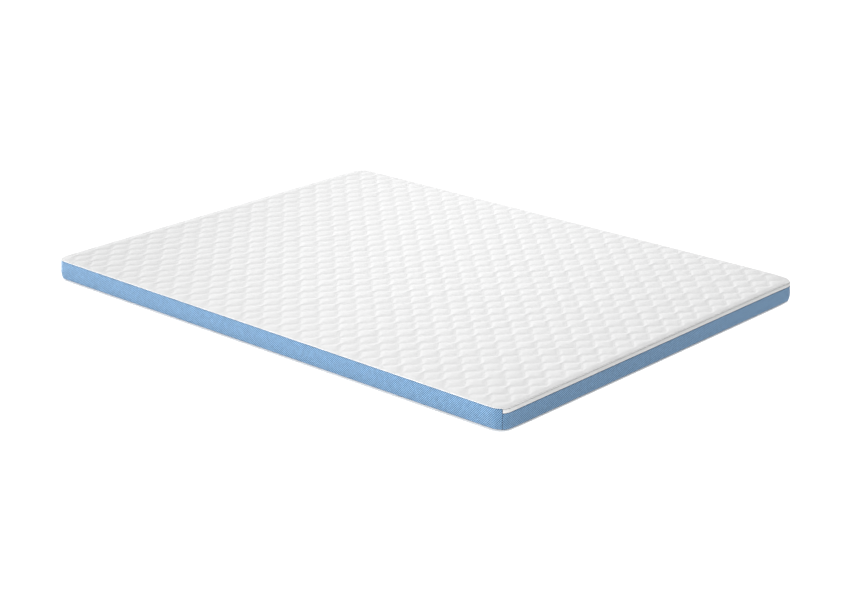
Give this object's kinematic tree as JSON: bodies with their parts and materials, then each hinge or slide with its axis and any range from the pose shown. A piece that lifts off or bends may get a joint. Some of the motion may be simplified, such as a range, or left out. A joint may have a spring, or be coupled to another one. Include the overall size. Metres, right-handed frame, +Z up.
{
  "type": "thin quilted mattress",
  "caption": "Thin double-width foam mattress with a white quilted top panel, a blue air-mesh border, a white band along the foot end and a plain underside to lie on.",
  "frame": {"origin": "middle of the underside, at the height of the surface that the mattress lies on", "axes": "+X across the width, +Y along the length from the foot end with the white band to the head, +Z up"},
  "size_m": [1.5, 2, 0.08],
  "materials": {
    "quilted_cloth": "soft white knitted cloth, quilted over wadding",
    "air_mesh": "blue three-dimensional knitted air mesh with fine open holes",
    "plain_cloth": "matt white knitted cloth"
  },
  "bodies": {
    "root": {"quilted_top": "quilted_cloth", "mesh_border": "air_mesh", "foot_border": "air_mesh", "zip_band": "plain_cloth", "bottom_panel": "plain_cloth"}
  },
  "joints": []
}
